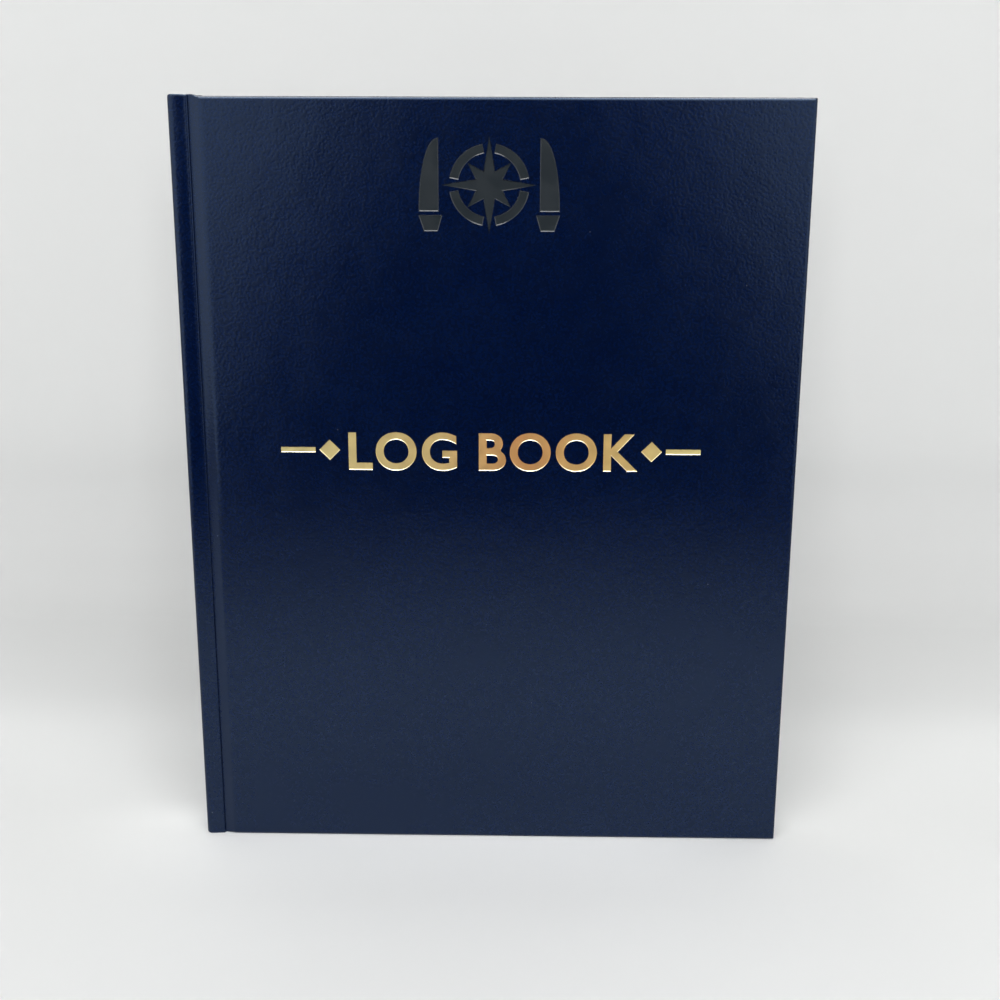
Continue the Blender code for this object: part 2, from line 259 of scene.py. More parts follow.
def foil_material():
    """Hot-stamped gold foil: its colour runs from pale through copper to yellow gold."""
    made, nodes, shader, place = new_material("gold_foil")
    along = nodes.ramp(nodes.split(place)[0], x_of(30 * MM), x_of(160 * MM), 0.0, 1.0, smooth=False)
    shift = nodes.math("MULTIPLY_ADD", nodes.noise(place, 120.0, 3.0), 0.14, -0.07)
    along = nodes.math("ADD", along, shift)
    ramp = nodes.add("ShaderNodeValToRGB", {0: along})
    stops = ramp.color_ramp.elements
    stops[0].position, stops[0].color = 0.0, (0.68, 0.58, 0.275, 1)
    stops[1].position, stops[1].color = 1.0, (0.75, 0.645, 0.285, 1)
    stops.new(0.36).color = (0.65, 0.48, 0.21, 1)
    stops.new(0.58).color = (0.61, 0.31, 0.12, 1)
    stops.new(0.78).color = (0.68, 0.46, 0.18, 1)
    pits = nodes.noise(place, 1800.0, 3.0, 0.6)
    normal = nodes.bump(pits, 0.02 * MM, 0.25)
    rough = nodes.ramp(nodes.noise(place, 300.0), 0.3, 0.7, 0.40, 0.48)
    # Painted highlight: upward-facing walls of the stamp are made a paler, whiter gold.
    colour = nodes.mix(nodes.ramp(nodes.upward(), 0.25, 0.6), ramp.outputs[0], (0.70, 0.65, 0.47, 1))
    set_inputs(nodes, shader, Base_Color=colour, Metallic=1.0, Roughness=rough, Normal=normal)
    return made


def black_foil_material():
    """Black pigment foil, glossier and greyer than the cloth round it."""
    made, nodes, shader, place = new_material("black_foil")
    pits = nodes.noise(place, 2000.0, 4.0, 0.6)
    normal = nodes.bump(pits, 0.02 * MM, 0.3)
    tone = nodes.mix(nodes.noise(place, 60.0), (0.011, 0.016, 0.020, 1), (0.015, 0.020, 0.025, 1))
    rough = nodes.ramp(nodes.noise(place, 200.0), 0.3, 0.7, 0.20, 0.27)
    # Painted shade: the reflection is weaker on upward-facing walls, which would catch the overhead light.
    gloss_with_painted_shade = nodes.ramp(nodes.upward(), 0.2, 0.6, 0.5, 0.24)
    set_inputs(nodes, shader, Base_Color=tone, Roughness=rough, Normal=normal, Specular_IOR_Level=gloss_with_painted_shade)
    return made


def paper_material(name, low, high, ruled=False, rest=True):
    """Paper with fibre mottling. A ruled page also carries the printed columns of a log table."""
    made, nodes, shader, place = new_material(name, rest)
    fibres = nodes.noise(place, 900.0, 5.0, 0.65)
    cloud = nodes.noise(place, 60.0, 3.0, 0.5)
    tone = nodes.mix(nodes.ramp(cloud, 0.3, 0.7), low, high)
    tone = nodes.mix(nodes.ramp(fibres, 0.35, 0.75, 0.0, 0.10), tone, (0.55, 0.50, 0.42, 1))
    if ruled:
        across, _, up = nodes.split(place)
        left, right = x_of(26 * MM), x_of(174 * MM)
        bottom, top = 16 * MM, HEIGHT - 30 * MM

        def band(value, low_end, high_end):
            above = nodes.math("GREATER_THAN", value, low_end)
            below = nodes.math("LESS_THAN", value, high_end)
            return nodes.math("MULTIPLY", above, below)

        def lines(value, start, pitch, width):
            step = nodes.math("FRACT", nodes.math("DIVIDE", nodes.math("SUBTRACT", value, start), pitch))
            return nodes.math("LESS_THAN", step, width / pitch)

        inside = nodes.math("MULTIPLY", band(across, left, right), band(up, bottom, top))
        rows = lines(up, bottom, 8.0 * MM, 0.22 * MM)
        columns = lines(across, left, 24.6 * MM, 0.22 * MM)
        table = nodes.math("MULTIPLY", nodes.math("MAXIMUM", rows, columns), inside)
        head = nodes.math("MULTIPLY", band(across, left, right), band(up, top, top + 7 * MM))
        rule = band(up, top + 12 * MM, top + 12.5 * MM)
        heading_rule = nodes.math("MULTIPLY", band(across, left, right), rule)
        tone = nodes.mix(nodes.math("MULTIPLY", head, 0.35), tone, (0.10, 0.19, 0.38, 1))
        ink = nodes.math("MAXIMUM", table, heading_rule)
        tone = nodes.mix(nodes.math("MULTIPLY", ink, 0.75), tone, (0.10, 0.17, 0.32, 1))
    set_inputs(nodes, shader, Base_Color=tone, Roughness=0.82, Normal=nodes.bump(fibres, 0.02 * MM, 0.4))
    shader.inputs["Specular IOR Level"].default_value = 0.25
    return made


def greyboard_material():
    made, nodes, shader, place = new_material("greyboard_look", rest=False)
    flecks = nodes.noise(place, 1500.0, 6.0, 0.75)
    layers = nodes.noise(place, 260.0, 4.0, 0.6)
    tone = nodes.mix(nodes.ramp(layers, 0.3, 0.7), (0.30, 0.27, 0.23, 1), (0.42, 0.385, 0.33, 1))
    tone = nodes.mix(nodes.ramp(flecks, 0.6, 0.8, 0.0, 0.6), tone, (0.12, 0.11, 0.10, 1))
    set_inputs(nodes, shader, Base_Color=tone, Roughness=0.93, Normal=nodes.bump(flecks, 0.08 * MM, 0.6))
    return made


def kraft_material():
    made, nodes, shader, place = new_material("kraft_look", rest=False)
    stretched = nodes.add("ShaderNodeMapping", {"Vector": place, "Scale": (1.0, 4.0, 0.6)}).outputs[0]
    fibres = nodes.noise(stretched, 900.0, 5.0, 0.7)
    tone = nodes.mix(nodes.ramp(fibres, 0.3, 0.75), (0.44, 0.31, 0.19, 1), (0.60, 0.45, 0.30, 1))
    set_inputs(nodes, shader, Base_Color=tone, Roughness=0.85, Normal=nodes.bump(fibres, 0.03 * MM, 0.5))
    return made


def woven_material(name, pitch, pale, dark, rest=True):
    """An open plain weave, drawn from two crossed sets of threads."""
    made, nodes, shader, place = new_material(name, rest)
    across, _, up = nodes.split(place)
    beat = math.tau / pitch
    warp = nodes.math("SINE", nodes.math("MULTIPLY", across, beat))
    weft = nodes.math("SINE", nodes.math("MULTIPLY", up, beat))
    threads = nodes.math("MAXIMUM", warp, weft)
    tone = nodes.mix(nodes.ramp(threads, 0.1, 0.7), dark, pale)
    set_inputs(nodes, shader, Base_Color=tone, Roughness=0.95, Normal=nodes.bump(threads, 0.1 * MM, 0.5))
    shader.inputs["Sheen Weight"].default_value = 0.3
    return made


def band_material():
    """Head and tail bands: blue and white thread wound round a cord."""
    made, nodes, shader, place = new_material("striped_band")
    along = nodes.split(place)[1]
    stripe = nodes.math("FRACT", nodes.math("DIVIDE", along, 1.4 * MM))
    strand = nodes.math("SINE", nodes.math("MULTIPLY", along, math.tau / (0.2 * MM)))
    tone = nodes.mix(nodes.math("GREATER_THAN", stripe, 0.5), (0.030, 0.045, 0.16, 1), (0.80, 0.78, 0.72, 1))
    set_inputs(nodes, shader, Base_Color=tone, Roughness=0.55, Normal=nodes.bump(strand, 0.05 * MM, 0.6))
    shader.inputs["Sheen Weight"].default_value = 0.4
    return made


def thread_material():
    made, nodes, shader, place = new_material("linen_thread_look", rest=False)
    _, along, up = nodes.split(place)
    twist = nodes.math("MULTIPLY_ADD", up, 9000.0, nodes.math("MULTIPLY", along, 6000.0))
    ply = nodes.math("SINE", twist)
    tone = nodes.mix(nodes.ramp(ply, -0.6, 0.6), (0.66, 0.62, 0.52, 1), (0.86, 0.83, 0.76, 1))
    set_inputs(nodes, shader, Base_Color=tone, Roughness=0.6, Normal=nodes.bump(ply, 0.04 * MM, 0.7))
    return made


# ---------------------------------------------------------------- mesh helpers


def finish_mesh(obj, look, sharp=38):
    """Stores rest positions for the materials, smooths the shading and sets the finish."""
    mesh = obj.data
    mesh.materials.clear()
    mesh.materials.append(look)
    mesh.polygons.foreach_set("material_index", [0] * len(mesh.polygons))
    mesh.shade_smooth()
    mesh.set_sharp_from_angle(angle=math.radians(sharp))
    place = mesh.attributes.new("rest_place", "FLOAT_VECTOR", "POINT")
    flat = np.zeros(len(mesh.vertices) * 3, np.float32)
    mesh.vertices.foreach_get("co", flat)
    place.data.foreach_set("vector", flat)
    return obj


def link_bmesh(name, bm):
    mesh = bpy.data.meshes.new(name)
    bm.to_mesh(mesh)
    bm.free()
    obj = bpy.data.objects.new(name, mesh)
    bpy.context.scene.collection.objects.link(obj)
    return obj


def evaluated_mesh(obj):
    """The mesh that an object's modifiers or text make. The object itself goes."""
    graph = bpy.context.evaluated_depsgraph_get()
    graph.update()
    mesh = bpy.data.meshes.new_from_object(obj.evaluated_get(graph))
    bpy.data.objects.remove(obj, do_unlink=True)
    return mesh


def bend_with(obj):
    """Bakes the placement of a sheet, which runs from the block to a cover or leaf, into its mesh; the sheet
    is not bent.
    """
    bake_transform(obj)


# ---------------------------------------------------------------- case cloth


def spline(points, per_span):
    """A Catmull-Rom curve through 2-D points."""
    padded = [points[0]] + list(points) + [points[-1]]
    made = []
    for i in range(1, len(padded) - 2):
        a, b, c, d = (Vector(p) for p in padded[i - 1 : i + 3])
        for step in range(per_span):
            t = step / per_span
            square, cube = 2 * a - 5 * b + 4 * c - d, 3 * b - a - 3 * c + d
            made.append(0.5 * (2 * b + (c - a) * t + square * t**2 + cube * t**3))
    made.append(Vector(points[-1]))
    return made


def case_profile():
    """Outer and inner points across one half of the case, in (u, v), from the spine's middle outwards."""
    radius = 1.2 * MM
    inner_u = 2.8 * MM
    outer = []
    steps = 7
    for i in range(steps):
        v = HALF + (radius - HALF) * i / steps
        outer.append((Vector((0.0, v)), Vector((inner_u, v))))
    for i in range(9):
        a = math.radians(180 + 90 * i / 8)
        p = Vector((radius + radius * math.cos(a), radius + radius * math.sin(a)))
        outer.append((p, Vector((inner_u, max(0.85 * MM, radius - 0.35 * MM * i / 8)))))
    for u, v in ((1.9, 0.03), (2.8, 0.09)):
        outer.append((Vector((u, v)) * MM, Vector((inner_u, 0.85 * MM))))
    for u, v in ((3.6, 0.16), (4.4, 0.24)):
        outer.append((Vector((u, v)) * MM, Vector((u * MM, 0.95 * MM))))
    joint = [(5.1, 0.31), (5.5, 0.32), (5.8, 0.39), (6.0, 0.66), (6.18, 1.02), (6.42, 1.14), (6.8, 1.05)]
    joint += [(7.4, 0.84), (8.1, 0.57), (8.8, 0.28), (9.3, 0.09), (9.8, 0.02), (10.6, 0.0), (11.6, 0.0)]
    curve = spline([Vector(p) * MM for p in joint], 3)
    for p in curve:
        share = smoothstep(7.0 * MM, 9.2 * MM, p.x)
        in_joint = min(p.y + 0.85 * MM, 1.75 * MM)
        outer.append((p, Vector((p.x, in_joint + (COVER_DEPTH - in_joint) * share))))
    face_start, face_end = 11.6 * MM, WIDTH - CORNER
    for i in range(1, FACE_COLUMNS + 1):
        u = face_start + (face_end - face_start) * i / FACE_COLUMNS
        outer.append((Vector((u, 0.0)), Vector((u, COVER_DEPTH))))
    return outer


def rim_rings():
    """Steps over the rim of a board: (inset from the edge, depth below the face)."""
    rings = []
    inner = 0.45 * MM
    for i in range(6):
        a = math.radians(90 * i / 5)
        rings.append((RIM * (1 - math.sin(a)), RIM * (1 - math.cos(a))))
    rings += [(0.0, 1.3 * MM), (0.0, 2.1 * MM), (0.0, COVER_DEPTH - inner)]
    for i in range(1, 5):
        a = math.radians(90 * i / 4)
        rings.append((inner * (1 - math.cos(a)), COVER_DEPTH - inner * (1 - math.sin(a))))
    rings += [(CORNER, COVER_DEPTH), (4 * MM, COVER_DEPTH), (9 * MM, COVER_DEPTH), (TURN_IN, COVER_DEPTH)]
    return rings


def head_of(u):
    """Height of the case at u: its cap over the spine stands a little above the boards."""
    pucker = 0.10 * MM * math.exp(-(((u - 5.2 * MM) / (0.8 * MM)) ** 2))
    return CAP_HEIGHT - pucker + (HEIGHT - CAP_HEIGHT) * smoothstep(7.2 * MM, 9.3 * MM, u)


def case_half(side, stamps):
    """The cloth of one cover, its joint and half the spine: one sheet, turned in all round."""
    columns = case_profile()
    last = len(columns) - 1
    rows = 60
    bm = bmesh.new()

    def vertex(u, v, z):
        return bm.verts.new((x_of(u), y_of(v, side), z))

    def row_z(u, j):
        low, high = CORNER, head_of(u) - CORNER
        return low + (high - low) * j / rows

    grid = [[vertex(p.x, p.y, row_z(p.x, j)) for j in range(rows + 1)] for p, _ in columns]
    flat = last - FACE_COLUMNS if stamps else last
    for i in range(flat):
        for j in range(rows):
            bm.faces.new((grid[i][j], grid[i + 1][j], grid[i + 1][j + 1], grid[i][j + 1]))
    if stamps:
        boundary = [grid[i][0] for i in range(flat, last)] + grid[last][:-1]
        boundary += [grid[i][rows] for i in range(last, flat, -1)] + grid[flat][:0:-1]
        pressed_face(bm, stamps, boundary)
        for i in range(flat + 1, last):
            for j in range(1, rows):
                bm.verts.remove(grid[i][j])

    fan, fore_columns = 7, 12
    path = [("edge", i, 0) for i in range(last + 1)]
    path += [("corner", n / fan, 0) for n in range(1, fan)]
    path += [("fore", j, None) for j in range(rows + 1)]
    path += [("corner", n / fan, 1) for n in range(fan - 1, 0, -1)]
    path += [("edge", i, 1) for i in range(last, -1, -1)]

    def start_vertex(kind, a, b):
        if kind == "edge":
            return grid[a][rows if b else 0]
        if kind == "fore":
            return grid[last][a]
        return grid[last][rows if b else 0]

    def ring_vertex(kind, a, b, inset, depth):
        if kind == "edge":
            outer, inner = columns[a]
            reach = (inner - outer).length
            scale = reach / COVER_DEPTH
            p = outer + (inner - outer) * (depth / COVER_DEPTH)
            drop = inset * (min(1.0, 0.35 + scale) if inset < CORNER else 1.0)
            u = min(p.x, WIDTH - inset) if a > last - fore_columns else p.x
            z = head_of(outer.x) - drop if b else drop
            return vertex(u, p.y, z)
        if kind == "fore":
            z = min(max(row_z(WIDTH, a), inset), HEIGHT - inset)
            return vertex(WIDTH - inset, depth, z)
        radius = max(CORNER_RADIUS - inset, 0.0)
        angle = a * math.pi / 2
        u = WIDTH - inset - radius * (1 - math.sin(angle))
        z = inset + radius * (1 - math.cos(angle))
        return vertex(u, depth, HEIGHT - z if b else z)

    previous = [start_vertex(*step) for step in path]
    for inset, depth in rim_rings():
        ring = [ring_vertex(*step, inset, depth) for step in path]
        for n in range(len(path) - 1):
            quad = (previous[n], ring[n], ring[n + 1], previous[n + 1])
            unique = list(dict.fromkeys(quad))
            if len(unique) > 2:
                bm.faces.new(unique)
        previous = ring
    bmesh.ops.remove_doubles(bm, verts=bm.verts, dist=1e-6)
    bmesh.ops.dissolve_degenerate(bm, edges=bm.edges, dist=1e-7)
    bmesh.ops.recalc_face_normals(bm, faces=bm.faces)
    on_face = [face for face in bm.faces if abs(face.calc_center_median().y) > HALF - 1e-6]
    largest = max(on_face, key=lambda face: face.calc_area())
    if largest.normal.y * side > 0:
        bmesh.ops.reverse_faces(bm, faces=bm.faces)
    name = f"{SIDE_NAMES[side]}_case_leatherette"
    sheet = link_bmesh(name, bm)
    shell = sheet.modifiers.new("thickness", "SOLIDIFY")
    shell.thickness = CLOTH
    shell.offset = -1.0
    made = bpy.data.objects.new(name, evaluated_mesh(sheet))
    bpy.context.scene.collection.objects.link(made)
    return made


# ---------------------------------------------------------------- stamped artwork


def emblem_loops():
    """A compass star inside a broken ring, between two small sailing boats. Points are (a, b) in mm."""
    loops = []
    star = []
    for i in range(16):
        radius = 13.7 if i % 4 == 0 else (8.6 if i % 4 == 2 else 3.9)
        a = math.radians(90 + 22.5 * i)
        star.append((radius * math.cos(a), radius * math.sin(a)))
    loops.append(star)
    for quarter in range(4):
        start, end = 90 * quarter + 11, 90 * quarter + 79
        angles = [math.radians(start + (end - start) * i / 14) for i in range(15)]
        ring = [(11.7 * math.cos(a), 11.7 * math.sin(a)) for a in angles]
        ring += [(9.5 * math.cos(a), 9.5 * math.sin(a)) for a in reversed(angles)]
        loops.append(ring)
    for way in (-1, 1):
        angles = [math.pi / 2 * i / 12 for i in range(13)]
        sail = [(15.3, -7.4)] + [(15.3 + 5.4 * math.cos(a), -7.4 + 20.6 * math.sin(a)) for a in angles]
        hull = [(14.3, -9.0), (15.5, -13.2), (19.3, -13.2), (20.7, -9.0)]
        loops += [[(way * a, b) for a, b in part][::way] for part in (sail, hull)]
    return [[Vector(point) * MM for point in loop] for loop in loops]


def ornament_loops():
    """A diamond and a rule at each end of the title."""
    loops = []
    for way in (-1, 1):
        diamond = [(53.0, 0.0), (50.0, 3.0), (47.0, 0.0), (50.0, -3.0)]
        rule = [(54.6, -0.65), (65.0, -0.65), (65.0, 0.65), (54.6, 0.65)]
        loops += [[(way * a, b) for a, b in part][::way] for part in (diamond, rule)]
    return [[Vector(point) * MM for point in loop] for loop in loops]


def loop_area(loop):
    return sum(a.cross(b) for a, b in zip(loop, loop[1:] + loop[:1])) / 2


def counter_clockwise(loop):
    return loop if loop_area(loop) > 0 else loop[::-1]


def title_loops():
    """The outlines of generic wide-spaced capitals, outer loops one way round and counters the other."""
    text = bpy.data.curves.new("title_words", "FONT")
    text.body = "LOG BOOK"
    text.size = 16.2 * MM
    text.align_x = "CENTER"
    text.space_character = 1.12
    text.space_word = 0.75
    text.resolution_u = 12
    obj = bpy.data.objects.new("title_words", text)
    bpy.context.scene.collection.objects.link(obj)
    loops = oriented(border_loops(evaluated_mesh(obj)))
    return [widened(without_slits(loop), 0.25 * MM) for loop in loops]


def border_loops(mesh):
    """The closed loops round the edge of a flat mesh."""
    bm = bmesh.new()
    bm.from_mesh(mesh)
    beside = {}
    for edge in bm.edges:
        if len(edge.link_faces) == 1:
            a, b = edge.verts
            beside.setdefault(a, []).append(b)
            beside.setdefault(b, []).append(a)
    loops = []
    while beside:
        at = next(iter(beside))
        chain = []
        while at in beside:
            chain.append(at.co.xy.copy())
            at = next((other for other in beside.pop(at) if other in beside), None)
        loops.append(chain)
    bm.free()
    return [loop for loop in loops if abs(loop_area(loop)) > 0.8 * MM**2]


def without_slits(loop):
    """Fills the narrow end of a slit between two curves, which the stamp's walls would close up."""
    for i, point in enumerate(loop):
        other = loop[(i + 1) % len(loop)]
        before, after = point - loop[i - 1], loop[(i + 2) % len(loop)] - other
        if (other - point).length < 0.1 * MM and before.angle_signed(after) > math.radians(100):
            way = (after.normalized() - before.normalized()).normalized()
            kept = loop[i + 2 :] + loop[:i] if i + 2 < len(loop) else loop[(i + 2) % len(loop) : i]
            return [point + way * 1.0 * MM] + [p for p in kept if (p - point).length > 1.3 * MM]
    return loop


def oriented(loops):
    """Outer loops turned counter-clockwise and the counters inside them clockwise."""
    made = []
    for loop in loops:
        others = [other for other in loops if other is not loop]
        turned = counter_clockwise(loop)
        made.append(turned[::-1] if inside_loops(loop[0], others) else turned)
    return made


def widened(loop, amount):
    """The loop with every point moved away from the inked side."""
    made = []
    for i, point in enumerate(loop):
        before = (point - loop[i - 1]).normalized()
        after = (loop[(i + 1) % len(loop)] - point).normalized()
        square = Vector((before.y + after.y, -before.x - after.x))
        if square.length < 1e-6:
            square = Vector((before.y, -before.x))
        square.normalize()
        slant = max(square.dot(Vector((after.y, -after.x))), 0.45)
        made.append(point + square * amount / slant)
    return made


def inside_loops(point, loops):
    """Even-odd test of a point against a set of loops."""
    found = False
    for loop in loops:
        for a, b in zip(loop, loop[1:] + loop[:1]):
            if (a.y > point.y) != (b.y > point.y):
                if point.x < a.x + (point.y - a.y) * (b.x - a.x) / (b.y - a.y):
                    found = not found
    return found


def triangulated(loops, frame_points=()):
    """Triangles over everything the loops and the frame enclose: (points, triangles)."""
    points = list(frame_points)
    edges = [(i, (i + 1) % len(points)) for i in range(len(points))]
    for loop in loops:
        start = len(points)
        points += loop
        edges += [(start + i, start + (i + 1) % len(loop)) for i in range(len(loop))]
    found = delaunay_2d_cdt(points, edges, [], 1, 1e-8)
    return found[0], found[2]


class Stamp:
    """One piece of foil work: its loops on the cover, its depth, and how far its walls spread."""

    def __init__(self, name, loops, centre_u, centre_z, depth, wall):
        shift = Vector((centre_u, centre_z))
        self.name, self.depth = name, depth
        self.floor = [[point + shift for point in loop] for loop in loops]
        self.brink = [widened(loop, wall) for loop in self.floor]


def pressed_face(bm, stamps, boundary):
    """Fills the flat of the front cover inside existing vertices, with each stamp pressed into it."""
    frame_points = [Vector((vert.co.x - SPINE_X, vert.co.z)) for vert in boundary]
    brinks = [loop for stamp in stamps for loop in stamp.brink]
    points, triangles = triangulated(brinks, frame_points)
    made = [bm.verts.new((x_of(p.x), y_of(0.0), p.y)) for p in points]
    for triangle in triangles:
        middle = sum((points[i] for i in triangle), Vector((0.0, 0.0))) / 3
        if not inside_loops(middle, brinks):
            bm.faces.new([made[i] for i in triangle])
    for stamp in stamps:
        for brink, floor in zip(stamp.brink, stamp.floor):
            upper = [bm.verts.new((x_of(p.x), y_of(0.0), p.y)) for p in brink]
            lower = [bm.verts.new((x_of(p.x), y_of(stamp.depth), p.y)) for p in floor]
            for i in range(len(floor)):
                j = (i + 1) % len(floor)
                bm.faces.new((upper[i], upper[j], lower[j], lower[i]))
        fill(bm, stamp.floor, stamp.depth)


def fill(bm, loops, depth):
    points, triangles = triangulated(loops)
    made = [bm.verts.new((x_of(p.x), y_of(depth), p.y)) for p in points]
    for triangle in triangles:
        middle = sum((points[i] for i in triangle), Vector((0.0, 0.0))) / 3
        if inside_loops(middle, loops):
            bm.faces.new([made[i] for i in triangle])


def foil_piece(stamp, look):
    """The foil on the floor and walls of a stamp, 0.02 mm thick."""
    bm = bmesh.new()
    rims = []
    for lift in (0.03 * MM, 0.01 * MM):
        fill(bm, stamp.floor, stamp.depth - lift)
        for brink, floor in zip(stamp.brink, stamp.floor):
            upper = [bm.verts.new((x_of(p.x), y_of(-lift), p.y)) for p in brink]
            lower = [bm.verts.new((x_of(p.x), y_of(stamp.depth - lift), p.y)) for p in floor]
            rims.append(upper)
            for i in range(len(floor)):
                j = (i + 1) % len(floor)
                bm.faces.new((upper[i], upper[j], lower[j], lower[i]))
    half = len(rims) // 2
    for front, rear in zip(rims[:half], rims[half:]):
        for i in range(len(front)):
            j = (i + 1) % len(front)
            bm.faces.new((front[i], front[j], rear[j], rear[i]))
    bmesh.ops.remove_doubles(bm, verts=bm.verts, dist=1e-6)
    bmesh.ops.recalc_face_normals(bm, faces=bm.faces)
    piece = finish_mesh(link_bmesh(stamp.name, bm), look, 24)
    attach(piece, "front_cover")


def cover_stamps():
    """The emblem near the head, pressed deeper, and the title with its ornaments across the middle."""
    emblem, ornaments = oriented(emblem_loops()), oriented(ornament_loops())
    return [
        Stamp("emblem_foil", emblem, 94.5 * MM, HEIGHT - 25.1 * MM, 0.24 * MM, 0.27 * MM),
        Stamp("title_foil", title_loops(), 95 * MM, HEIGHT - 111.5 * MM, 0.14 * MM, 0.17 * MM),
        Stamp("ornament_foil", ornaments, 95 * MM, HEIGHT - 105.6 * MM, 0.14 * MM, 0.17 * MM),
    ]


# ---------------------------------------------------------------- paper


def leaf_columns(start_u, end_u, dense_end_u):
    dense = max(4, round((dense_end_u - start_u) / (0.45 * MM)))
    near = [start_u + (dense_end_u - start_u) * i / dense for i in range(dense)]
    far = [dense_end_u + (end_u - dense_end_u) * (i / 9) for i in range(10)]
    return near + far


def add_sheet(bm, side, columns, v, thickness, low_z, high_z, seed, ragged):
    """One closed sheet, whose trimmed edges wander by a few hundredths of a millimetre."""
    rows = 8

    def wander(n, span):
        return ragged * noise.noise(Vector((seed * 7.3, n * 1.7, span)))

    layers = []
    for layer in (0, 1):
        grid = []
        for i, u in enumerate(columns):
            line = []
            for j in range(rows + 1):
                low = low_z + wander(i, 1.0)
                high = high_z + wander(i, 2.0)
                z = low + (high - low) * j / rows
                edge_u = u + (wander(j, 3.0) if i == len(columns) - 1 else 0.0)
                depth = v + layer * thickness
                line.append(bm.verts.new((x_of(edge_u), y_of(depth, side), z)))
            grid.append(line)
        layers.append(grid)
    count = len(columns)
    for layer, grid in enumerate(layers):
        for i in range(count - 1):
            for j in range(rows):
                quad = [grid[i][j], grid[i + 1][j], grid[i + 1][j + 1], grid[i][j + 1]]
                bm.faces.new(quad if layer == 0 else quad[::-1])
    rim = [(i, 0) for i in range(count)] + [(count - 1, j) for j in range(1, rows + 1)]
    rim += [(i, rows) for i in range(count - 2, -1, -1)] + [(0, j) for j in range(rows - 1, 0, -1)]
    for n, (i, j) in enumerate(rim):
        k, m = rim[(n + 1) % len(rim)]
        bm.faces.new((layers[0][i][j], layers[1][i][j], layers[1][k][m], layers[0][k][m]))


def sheet_piece(name, side, box, dense_end_u, look, slot, count=1, ragged=0.0, filled=1.0):
    """Sheets filling a box of (start and end u, start and end depth, low and high z), with close-set columns
    near the joint.
    """
    (start_u, end_u), (near, far), z_range = box
    bm = bmesh.new()
    columns = leaf_columns(start_u, end_u, dense_end_u)
    seed = sum(ord(letter) for letter in name) % 97
    pitch = (far - near) / count
    for n in range(count):
        add_sheet(bm, side, columns, near + n * pitch, pitch * filled, *z_range, seed + n, ragged)
    bmesh.ops.recalc_face_normals(bm, faces=bm.faces)
    return finish_mesh(link_bmesh(name, bm), look)


def ribbed_band(name, end, look):
    """A head or tail band: thread wound over a cord, with its tape down the backs of the signatures."""
    low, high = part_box(name)
    outward = 1 if end == "head" else -1
    edge_z = LEAF_HIGH.z if end == "head" else LEAF_LOW.z
    bead_x, bead_z = (low.x + high.x) / 2, edge_z + outward * 0.85 * MM
    radius, sides = 0.66 * MM, 18
    turns = round((high.y - low.y) / (0.2 * MM))
    bm = bmesh.new()
    rings = []
    steps = turns * 4
    for i in range(steps + 1):
        y = low.y + (high.y - low.y) * i / steps
        r = radius * (0.955 + 0.045 * abs(math.sin(math.pi * turns * i / steps)))
        angles = [math.tau * k / sides for k in range(sides)]
        rings.append([bm.verts.new((bead_x + r * math.cos(a), y, bead_z + r * math.sin(a))) for a in angles])
    for a, b in zip(rings, rings[1:]):
        for k in range(sides):
            m = (k + 1) % sides
            bm.faces.new((a[k], a[m], b[m], b[k]))
    bm.faces.new(rings[0])
    bm.faces.new(rings[-1][::-1])
    tape_low = edge_z - outward * 12 * MM
    tape_high = edge_z + outward * 0.5 * MM
    x0, x1 = low.x + 0.02 * MM, low.x + 0.2 * MM
    spans = itertools.product((x0, x1), (low.y, high.y), (tape_low, tape_high))
    corners = [bm.verts.new(corner) for corner in spans]
    for quad in ((0, 1, 3, 2), (4, 6, 7, 5), (0, 4, 5, 1), (2, 3, 7, 6), (0, 2, 6, 4), (1, 5, 7, 3)):
        bm.faces.new([corners[n] for n in quad])
    bmesh.ops.recalc_face_normals(bm, faces=bm.faces)
    piece = finish_mesh(link_bmesh(name + "_woven", bm), look, 50)
    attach(piece, ROOT)
    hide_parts(name)


# ---------------------------------------------------------------- assembly


def build_case(look):
    gold, black = foil_material(), black_foil_material()
    for side in (BACK, FRONT):
        name = SIDE_NAMES[side]
        stamps = cover_stamps() if side == FRONT else ()
        cloth = case_half(side, stamps)
        finish_mesh(cloth, look, 31)
        bend_with(cloth)
        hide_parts(f"{name}_cover_cloth", "spine_cloth")
        for stamp in stamps:
            look_of_foil = black if stamp.name == "emblem_foil" else gold
            foil_piece(stamp, look_of_foil)


def depth_range(node, side):
    """How deep below the face of its cover a node starts and ends."""
    low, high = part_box(node)
    ends = sorted(abs(y - y_of(0.0, side)) for y in (low.y, high.y))
    return ends[0], ends[1]


def build_endpapers(endpaper, mull):
    z_range = (LEAF_LOW.z, LEAF_HIGH.z)
    u_range = (SHEET_START_U, LEAF_HIGH.x - SPINE_X)
    for side, name in SIDE_NAMES.items():
        box = (u_range, depth_range(f"{name}_pastedown", side), z_range)
        pasted = sheet_piece(f"{name}_pastedown_sheet", side, box, JOINT_END_U, endpaper, "endpaper")
        bend_with(pasted)
        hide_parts(f"{name}_pastedown")

        box = (u_range, depth_range(f"{name}_flyleaf", side), z_range)
        sheet = f"{name}_flyleaf_sheet"
        free = sheet_piece(sheet, side, box, LEAF_END_U, endpaper, "endpaper", ragged=0.05 * MM)
        bend_with(free)
        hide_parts(f"{name}_flyleaf")

        low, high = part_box(f"{name}_mull_flange")
        near, far = (v + 0.12 * MM for v in depth_range(f"{name}_mull_flange", side))
        box = ((SHEET_START_U, high.x - SPINE_X), (near, far), (low.z, high.z))
        strip = sheet_piece(f"{name}_mull_strip", side, box, JOINT_END_U, mull, "mull_cloth", ragged=0.5 * MM)
        bend_with(strip)
        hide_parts(f"{name}_mull_flange")


